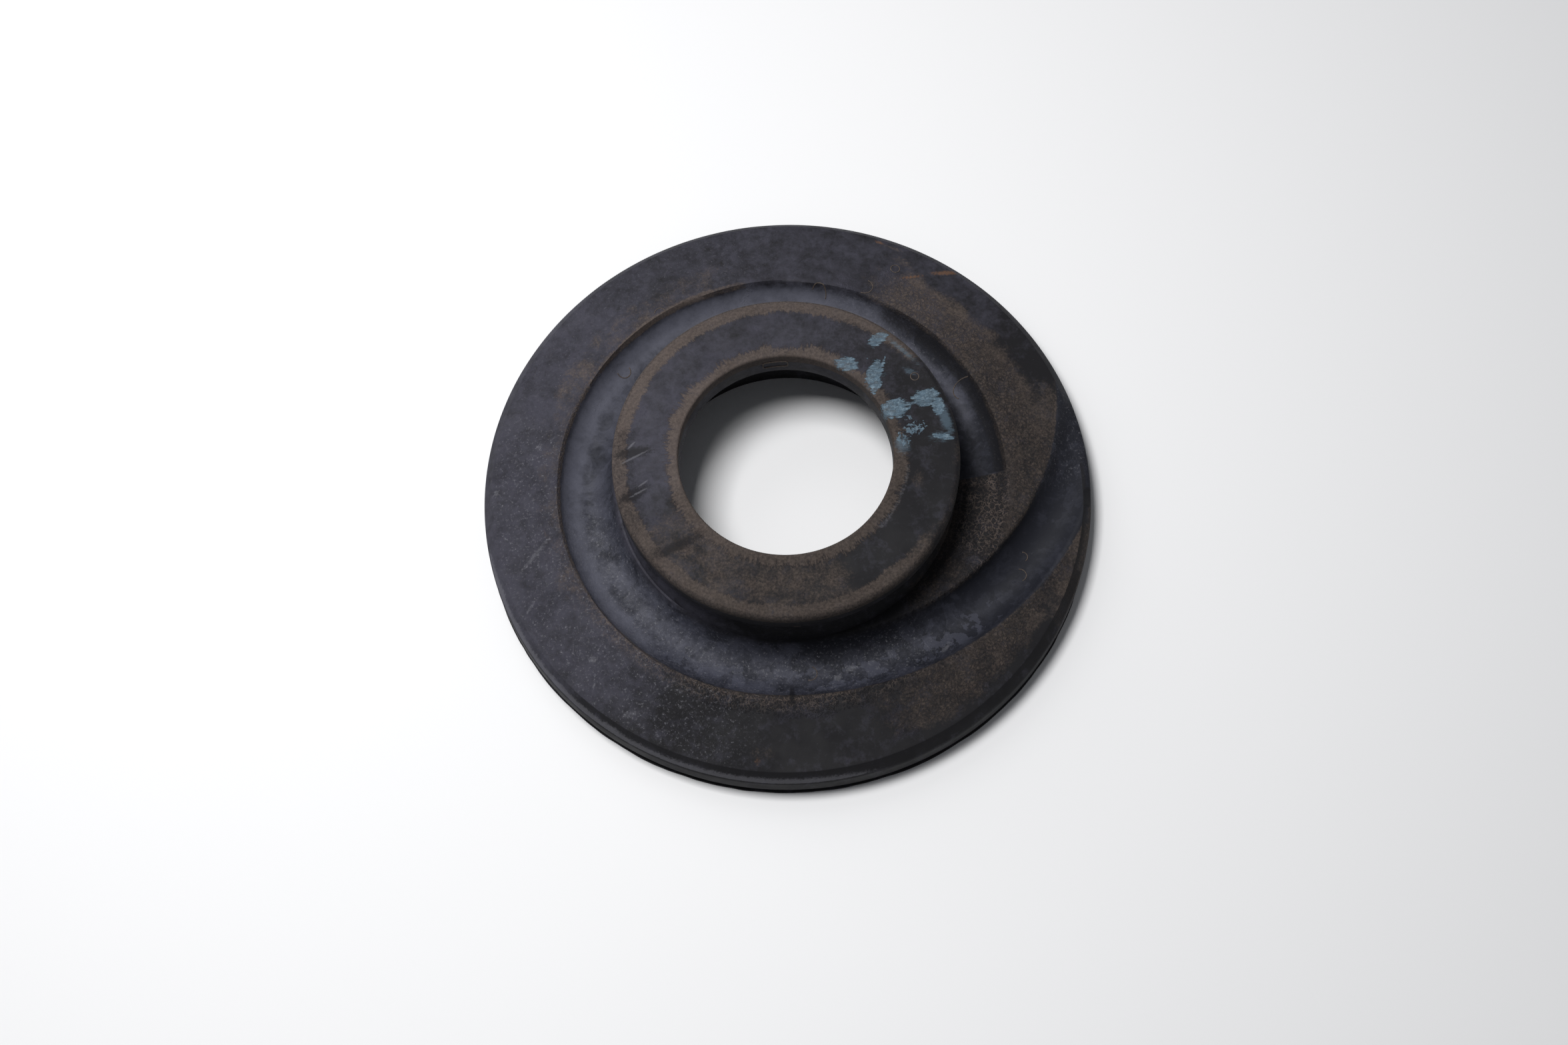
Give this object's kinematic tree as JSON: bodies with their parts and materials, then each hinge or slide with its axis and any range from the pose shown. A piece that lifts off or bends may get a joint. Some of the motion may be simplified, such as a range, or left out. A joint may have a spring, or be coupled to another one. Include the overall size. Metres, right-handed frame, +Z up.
{
  "type": "coil spring seat pad",
  "caption": "Round rubber spring seat pad with a spiral wire channel, a hollow collared boss and a central bore.",
  "frame": {"origin": "centre of the flat underside", "axes": "+Z up along the bore and the spring's axis, +X towards the stop step"},
  "size_m": [0.1504, 0.1504, 0.0297],
  "materials": {
    "rubber": "satin black rubber with brown bloom"
  },
  "bodies": {
    "root": {"spring_seat_pad": "rubber"}
  },
  "joints": []
}
